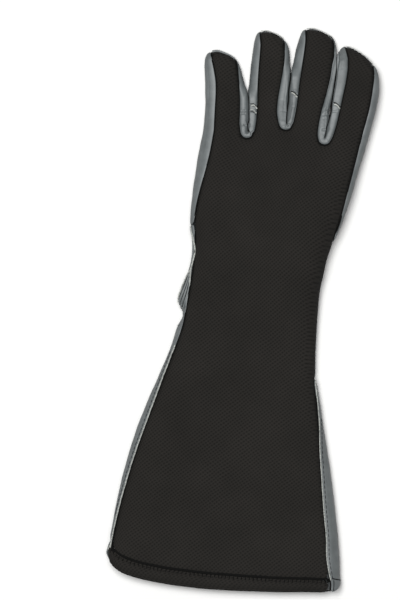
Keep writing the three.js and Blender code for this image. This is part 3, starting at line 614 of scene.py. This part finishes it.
def strand_push(name, trees, place, face, push, rise):
    """The push of a place on a strip between two fingers: up into its strand and over to the slit's line.

    The face is the nearest place on the strip's outer side. The push is the one that it has without a slit,
    and the rise is what lumps and creases add to the strand's height, in mm.
    """
    left = SLITS[name][-1][1] - to_cutter(place)[1]
    flat = Vector((place.x, place.y, 0))
    middle, _, gap = trees["slit"].find(flat)
    kept = SLIT_KEPT + (1 - SLIT_KEPT) * smooth((gap / MM - SLIT_CLOSED) / (SLIT_FREE - SLIT_CLOSED))
    closing = (middle - flat) * (1 - kept) * smooth(left / CLOSING_RUN)
    edge, _, away = trees["back_seam"].find(face)
    height = strand_height(edge.z, trees["slit"].find(Vector((face.x, face.y, 0)))[2], away)
    height += rise * MM
    share = smooth(left / STRAND_RUN) * smooth((STRAND_DEPTH - (edge.z - face.z) / MM) / STRAND_DEPTH_BLEND)
    return push.lerp(Vector((0, 0, min(height - face.z, STRAND_LIFT * MM))), share) + closing


def push_of(name, trees, vert):
    """How far a vertex of a smoothed wall is pushed, as its cloth gives, swells, rolls and creases."""
    cloth = PIECES[name][0]
    face, way_out, _, to_outer = trees["outer"].find_nearest(vert.co)
    _, _, _, to_inner = trees["inner"].find_nearest(vert.co)
    share = to_inner / (to_outer + to_inner)
    seam = trees["seams"].find(vert.co)[2]
    fade = smooth(seam / (SEAM_FADE * MM))
    out = vert.normal if share > OUTER_SHARE else way_out
    x, y = to_cutter(vert.co)
    lump = lump_at(vert.co, cloth)
    push = out * -hollow_depth(name, x, y, way_out.z) * MM * smooth(seam / (HOLLOW_FADE * MM))
    if share > OUTER_SHARE:
        if cloth == "knit":
            roll, reach = (HEM_ROLL, HEM_ROLL_REACH) if name == "back_hem" else (KNIT_ROLL, KNIT_ROLL_REACH)
            rise = lump * fade - roll * math.exp(-(seam / (reach * MM)) ** 2)
        else:
            swell = LEATHER_SWELL * (1 - math.exp(-(seam / (LEATHER_SWELL_REACH * MM)) ** 2))
            rise = (lump + swell - crease_depth(name, x, y, out.z + FACE_LEAN)) * fade
        push += out * rise * MM * smooth((share - OUTER_SHARE) / OUTER_BLEND)
    if name in SLITS:
        rise = (lump - crease_depth(name, x, y, 1)) * fade
        push = strand_push(name, trees, vert.co, face, push, rise)
    return push


def dress(name):
    """The finished piece that stands for a CAD node, with its search trees and the loops of its rim."""
    cloth, rounds, eye, way = PIECES[name]
    wall, outside = wall_of(name, eye, way)
    rim = [e for e in wall.edges if sum(face in outside for face in e.link_faces) == 1]
    beside = {face for e in rim for face in e.link_faces} - outside
    loops = rim_loops(rim, outside)
    places, above = places_along(loops)
    trees = {
        "outer": tree_of([face for face in wall.faces if face in outside]),
        "inner": tree_of([face for face in wall.faces if face not in outside and face not in beside]),
        "seams": point_tree(places),
    }
    if name in SLITS:
        trees["back_seam"] = point_tree(above)
        trees["slit"] = point_tree(evenly([to_metres(x, y) for x, y in SLITS[name]], SLIT_STEP * MM))
    edge = KNIT_EDGE if cloth == "knit" else LEATHER_EDGE
    bmesh.ops.bevel(wall, geom=rim, offset=edge * MM, segments=1, profile=0.5, affect="EDGES",
                    clamp_overlap=True, material=-1)
    mesh = softened(wall, name, rounds)
    pushes = [push_of(name, trees, vert) for vert in mesh.vertices]
    for vert, push in zip(mesh.vertices, pushes):
        vert.co += push
        # The glove lies on its threads
        vert.co.z = max(vert.co.z, THREAD / 2 * MM)
    piece = bpy.data.objects.new(name + "_dressed", mesh)
    bpy.context.scene.collection.objects.link(piece)
    mesh.materials.clear()
    mesh.materials.append(knit if cloth == "knit" else leather)
    for polygon in mesh.polygons:
        polygon.use_smooth = True
    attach(piece, "root")
    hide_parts(name)
    return {"piece": piece, "loops": loops, **trees}


# Routes on the finished glove. pieces holds what dress() gives for each node, and glove is the tree over all.
def seated(route, side, step=1.0):
    """A cutter's route laid on the glove, from above (1) or below (-1): places, and the way out at each.

    Where the height jumps, as beside the open cuff or a slit, only the longest run is kept.
    """
    start = Vector((0, 0, side * LAY_FROM * MM))
    runs = [[]]
    hits = runs[0]
    for place in evenly([to_metres(x, y) for x, y in route], step * MM):
        hit, way_out, _, _ = glove.ray_cast(place + start, Vector((0, 0, -side)))
        if hit is None:
            hit, way_out, _, _ = glove.find_nearest(place + Vector((0, 0, BESIDE_HEIGHT * MM)))
        if hits and abs(hit.z - hits[-1][0].z) > LAID_JUMP * MM:
            runs.append([])
            hits = runs[-1]
        hits.append((hit, way_out))
    hits = max(runs, key=len)
    laid = []
    for i, (hit, _) in enumerate(hits):
        near = hits[max(i - 2, 0):i + 3]
        place = Vector((hit.x, hit.y, sum(h.z for h, _ in near) / len(near)))
        laid.append((place, sum((w for _, w in near), Vector()).normalized()))
    return laid


def laid_seam(seam, step=1.0):
    """A seam's corner places as an even run with the way out at each."""
    corners = point_tree([place for place, _ in seam])
    laid = []
    for place in evenly([place for place, _ in seam], step * MM):
        near = corners.find_n(place, 2)
        laid.append((place, sum((seam[i][1] / max(d, 1e-6) for _, i, d in near), Vector()).normalized()))
    return laid


def seams_between(a, b, side, low=-math.inf, high=math.inf):
    """Laid seams where the rim of piece a runs along piece b, above (1) or below (-1), from y low to high."""
    found = []
    for loop in pieces[a]["loops"]:
        near = [pieces[b]["outer"].find_nearest(place)[3] < SEAM_NEAR * MM
                and low <= to_cutter(place)[1] <= high and way_out.z * side > 0 for place, way_out in loop]
        start = next((i for i, n in enumerate(near) if not n), 0)
        run = []
        for i in range(start, start + len(loop) + 1):
            if near[i % len(loop)]:
                run.append(loop[i % len(loop)])
            else:
                found.append(run)
                run = []
        found.append(run)
    return [laid_seam(run) for run in sorted(found, key=len, reverse=True) if len(run) > 3]


def sunk(laid, depth):
    """A laid route taken in from the surface. Where the smoothed walls drew back from it, it goes along."""
    found = []
    for place, way_out in laid:
        nearest, _, _, distance = glove.find_nearest(place)
        if distance > DRAWN_BACK * MM:
            place = nearest
        found.append((place - way_out * depth * MM, way_out))
    return found


def thread_share(place, way_out):
    """How much of the seam thread shows: less at the sides and below, least where the pinky's strip ends."""
    x, y = to_cutter(place)
    off_end = math.hypot(x - STRIP_END[0], y - STRIP_END[1])
    return facing(way_out.z, SIDE_THREAD) * max(smooth((off_end - STRIP_END_REACH) / STRIP_END_BLEND),
                                                STRIP_END_THREAD)


def beside_seam(seam, toward, distance, side=1):
    """A line beside a laid seam, at a distance in mm to one side of it, laid from above or below."""
    route = []
    for (before, _), (after, _) in zip(seam, seam[2:]):
        along = (after - before).xy.normalized()
        across = Vector((along.y, -along.x))
        if across.dot(Vector(toward)) < 0:
            across = -across
        route.append(to_cutter((before + after) / 2 + across.to_3d() * distance * MM))
    laid = seated(route[::4], side, FINE_STEP) if len(route) > 8 else []
    return [(place, way_out) for place, way_out in laid
            if min((place - other).length for other, _ in seam) < (distance + ROW_STRAY) * MM]


def row_stitches(laid):
    """Stitches in a row along a laid route: the two ends of each and the way out there."""
    found = []
    start = 0.0
    travelled = 0.0
    begin = laid[0][0]
    for (here, way_out), (there, _) in zip(laid, laid[1:]):
        travelled += (there - here).length
        if travelled - start >= STITCH_LENGTH * MM:
            found.append((begin, there, way_out))
            start = travelled + STITCH_GAP * MM
        if travelled <= start:
            begin = there
    return found


def overlock(laid, toward):
    """Stitches that run from a laid seam out over one side of it, as an overlock machine sews them."""
    found = []
    travelled = 0.0
    for (before, _), (here, way_out), (after, _) in zip(laid, laid[1:], laid[2:]):
        travelled += (here - before).length
        if travelled < OVERLOCK_SPACING * MM:
            continue
        travelled = 0.0
        across = (after - before).normalized().cross(way_out).normalized()
        if across.dot(Vector(toward)) < 0:
            across = -across
        uneven = 1 + OVERLOCK_UNEVEN * noise.noise(here / (OVERLOCK_NOISE * MM))
        end, out, _, _ = glove.find_nearest(here + across * OVERLOCK_LENGTH * uneven * MM)
        found.append((here, end, out))
    return found


# Strands
def strands(name, routes, material):
    """One piece of round strands: each route is its places with their radius in metres."""
    curve = bpy.data.curves.new(name, "CURVE")
    curve.dimensions = "3D"
    curve.bevel_depth = 1.0
    curve.bevel_resolution = 1
    curve.use_fill_caps = True
    for route in routes:
        spline = curve.splines.new("POLY")
        spline.points.add(len(route) - 1)
        for point, (place, radius) in zip(spline.points, route):
            point.co = (place.x, place.y, max(place.z, radius), 1)
            point.radius = radius
    curve.materials.append(material)
    holder = bpy.data.objects.new(name + "_curve", curve)
    bpy.context.scene.collection.objects.link(holder)
    mesh = bpy.data.meshes.new_from_object(holder.evaluated_get(bpy.context.evaluated_depsgraph_get()))
    bpy.data.objects.remove(holder)
    piece = bpy.data.objects.new(name, mesh)
    bpy.context.scene.collection.objects.link(piece)
    for polygon in mesh.polygons:
        polygon.use_smooth = True
    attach(piece, "root")


def frayed(laid, thickness, lift=RAW_LIFT):
    """A raw edge along a laid route: uneven in thickness and a little wavy."""
    route = []
    for place, way_out in laid:
        wave = noise.noise_vector(place / (FRAY_WAVE * MM)) * FRAY_WAVE_REACH * MM
        uneven = 1 + FRAY_UNEVEN * noise.noise(place / (FRAY_KNOT * MM) + FRAY_SHIFT)
        route.append((place + way_out * lift * MM + wave, thickness / 2 * uneven * MM))
    return route


def stitch_routes(ends):
    """Short stitches, each thick in its middle and drawn into the cloth at its ends."""
    routes = []
    for here, there, way_out in ends:
        middle = (here + there) / 2 + way_out * STITCH_LIFT * MM
        routes.append([(here, THREAD / 4 * MM), (middle, THREAD / 2 * MM), (there, THREAD / 4 * MM)])
    return routes


def slit_shade(name):
    """Painted shade in a slit between two fingers: a black strand below the seam's height."""
    places = []
    for x, y in SLITS[name][:-1]:
        place = to_metres(x, y, SLIT_LOOK_HEIGHT)
        seam_height = pieces[name]["back_seam"].find(place)[0].z
        places.append(Vector((place.x, place.y, seam_height - SLIT_SHADE_DEPTH * MM)))
    return [(place, SLIT_SHADE / 2 * MM) for place in evenly(places, MM)]


def seam_thread_and_painted_shade():
    """The thread of the seams, the thick one of the knit hem, the painted shade of the slits, and the dark
    lines, which are thick thread and, at the wrist's fan, painted shade between the folds.
    """
    routes = []
    for name in ("back_panel", "back_hem", "palm_panel", "thumb_back"):
        for loop in pieces[name]["loops"]:
            laid = sunk(laid_seam(loop, SEAM_THREAD_STEP), SEAM_THREAD_SINK)
            routes.append([(place, SEAM_THREAD / 2 * MM * thread_share(place, way_out))
                           for place, way_out in laid])
    routes.append(frayed(sunk(hem_seam, HEM_THREAD_SINK), HEM_THREAD, 0))
    # Painted shade: a black strand in each slit between two fingers
    routes += [slit_shade(name) for name in SLITS]
    routes += [frayed(seated(route, side, FINE_STEP), thickness, -DARK_LINE_SINK)
               for side, thickness, route in DARK_LINES]
    strands("seam_thread_and_painted_shade", routes, black_thread_and_painted_shade)


def raw_leather_edges():
    """The leather's cut edges: those that cross it, those beside the seams of the back, and those below."""
    routes = [frayed(seated(route, side, FINE_STEP), thickness) for side, thickness, route in RAW_EDGES]
    routes.append(frayed(right_seam, RIGHT_RAW_EDGE))
    routes.append(frayed(left_seam, LEFT_RAW_EDGE))
    for seam in low_seams:
        shares = [facing(-way_out.z, SIDE_RAW_EDGE) for _, way_out in seam]
        edge = frayed(seam, LOW_RAW_EDGE, LOW_RAW_LIFT)
        routes.append([(place, radius * share) for (place, radius), share in zip(edge, shares)][1:-1])
    strands("raw_leather_edges", routes, cut_leather)


def leather_rolls():
    """Small folds of leather: the fan at the wrist, and the roll over the pinky's tip."""
    routes = []
    for side, first, last, route in LEATHER_ROLLS:
        laid = seated(route, side)
        count = len(laid) - 1
        routes.append([(place, (first + (last - first) * i / count) / 2 * MM)
                       for i, (place, _) in enumerate(laid)])
    tip = min(seams_between("palm_panel", "back_panel", -1, TIPS_FROM), key=lambda seam: seam[0][0].x)
    tip.sort(key=lambda entry: entry[0].x)
    routes.append([(place + TIP_ROLL_SHIFT * MM, (TIP_ROLL - TIP_ROLL_LOSS * i / len(tip)) * MM)
                   for i, (place, _) in enumerate(tip)][1:-1])
    strands("leather_rolls", routes, leather)


def dark_stitches():
    """The stitches: rows beside the seams, the overlocked knit hem and the zigzag of the leather hem."""
    rows = [seated(route, side, FINE_STEP) for side, route in DARK_STITCHES]
    rows.append(beside_seam(right_seam, (1, 0), RIGHT_ROW))
    rows.append(beside_seam(left_seam, (-1, 0), LEFT_ROW))
    for seam in low_seams:
        both = [beside_seam(seam, toward, LOW_ROW, -1) for toward in ((-1, 0), (1, 0))]
        rows += [row for row in both if row]
    stitches = [stitch for row in rows for stitch in row_stitches(row)]
    stitches += overlock(hem_seam, (0, -1, 0))
    routes = stitch_routes(stitches)
    middle = evenly([Vector((x, y, 0)) for x, y in HEM_MIDDLE], ZIGZAG_STEP)
    zigzag = [(place.x, place.y + (ZIGZAG_REACH, -ZIGZAG_REACH)[i % 2]) for i, place in enumerate(middle)]
    routes.append([(place, THREAD / 2 * MM) for place, _ in seated(zigzag, -1, FINE_STEP)])
    strands("dark_stitches", routes, black_thread_and_painted_shade)


# Stage
def floor():
    """A pale sheet of paper under the glove."""
    sheet = bmesh.new()
    bmesh.ops.create_grid(sheet, x_segments=1, y_segments=1, size=FLOOR_REACH)
    mesh = bpy.data.meshes.new("floor")
    sheet.to_mesh(mesh)
    sheet.free()
    plane = bpy.data.objects.new("floor", mesh)
    bpy.context.scene.collection.objects.link(plane)
    material, _, shader = new_material("pale_paper")
    shader.inputs["Base Color"].default_value = linear("#bcbcbb")
    shader.inputs["Roughness"].default_value = 0.95
    shader.inputs["Specular IOR Level"].default_value = 0.0
    mesh.materials.append(material)
    plane.location.z = -FLOOR_GAP


def camera():
    """The camera of the photograph: straight above the glove."""
    data = bpy.data.cameras.new("camera")
    data.sensor_width = CAMERA_SENSOR
    data.lens = data.sensor_width * CAMERA_HEIGHT / VIEW_HEIGHT
    data.clip_end = 20.0
    holder = bpy.data.objects.new("camera", data)
    bpy.context.scene.collection.objects.link(holder)
    holder.location = (*VIEW_CENTRE, CAMERA_HEIGHT + MID_HEIGHT)
    holder.rotation_euler = (0, 0, VIEW_ROLL)
    bpy.context.scene.camera = holder


def lamp(name, place, size, power):
    """A square soft light that looks at the middle of the glove."""
    light = bpy.data.lights.new(name, "AREA")
    light.shape = "SQUARE"
    light.size = size
    light.energy = power
    holder = bpy.data.objects.new(name, light)
    bpy.context.scene.collection.objects.link(holder)
    holder.location = place
    holder.rotation_euler = (-Vector(place)).to_track_quat("-Z", "Y").to_euler()


def world():
    """Soft white light from all round."""
    studio = bpy.data.worlds.new("studio")
    bpy.context.scene.world = studio
    studio.use_nodes = True
    background = studio.node_tree.nodes["Background"]
    background.inputs["Color"].default_value = linear("#ffffff")
    background.inputs["Strength"].default_value = 0.15


knit = aramid_knit()
leather = goatskin("grey_goatskin", [(0.3, "#34393a"), (0.5, "#404546"), (0.7, "#4c5152")], 0.68)
cut_leather = fibrous("cut_leather", [(0.3, "#525453"), (0.5, "#80827e"), (0.7, "#9d9f9b")], 0.8)
# The black thread's material also colours the painted shade in the slits and between the folds of the wrist's
# fan
black_thread_and_painted_shade = fibrous("black_thread_and_painted_shade", [(0.3, "#030303"), (0.7, "#0a0a09")], 0.4)

noise.seed_set(NOISE_SEED)
pieces = {name: dress(name) for name in PIECES}
glove = glove_tree([entry["piece"] for entry in pieces.values()])

hem_seam = seams_between("back_hem", "back_panel", 1)[0]
right_seam = seams_between("gauntlet_side_strip", "back_panel", 1)[0]
left_seam = seams_between("palm_panel", "back_panel", 1, *LEFT_SEAM)[0]
low_seams = seams_between("palm_panel", "back_panel", -1) + seams_between("thumb_front", "thumb_back", -1)
low_seams += seams_between("gauntlet_side_strip", "back_panel", -1)
for name in ("pinky_side_strip", "index_side_strip", *SLITS):
    low_seams += seams_between("palm_panel", name, -1)

seam_thread_and_painted_shade()
raw_leather_edges()
leather_rolls()
dark_stitches()

floor()
camera()
lamp("key", (-0.3, 0.2, 2.4), 0.8, 92)
lamp("top", (0, 0, 3.0), 1.2, 40)
world()
bpy.context.scene.view_settings.view_transform = "Standard"
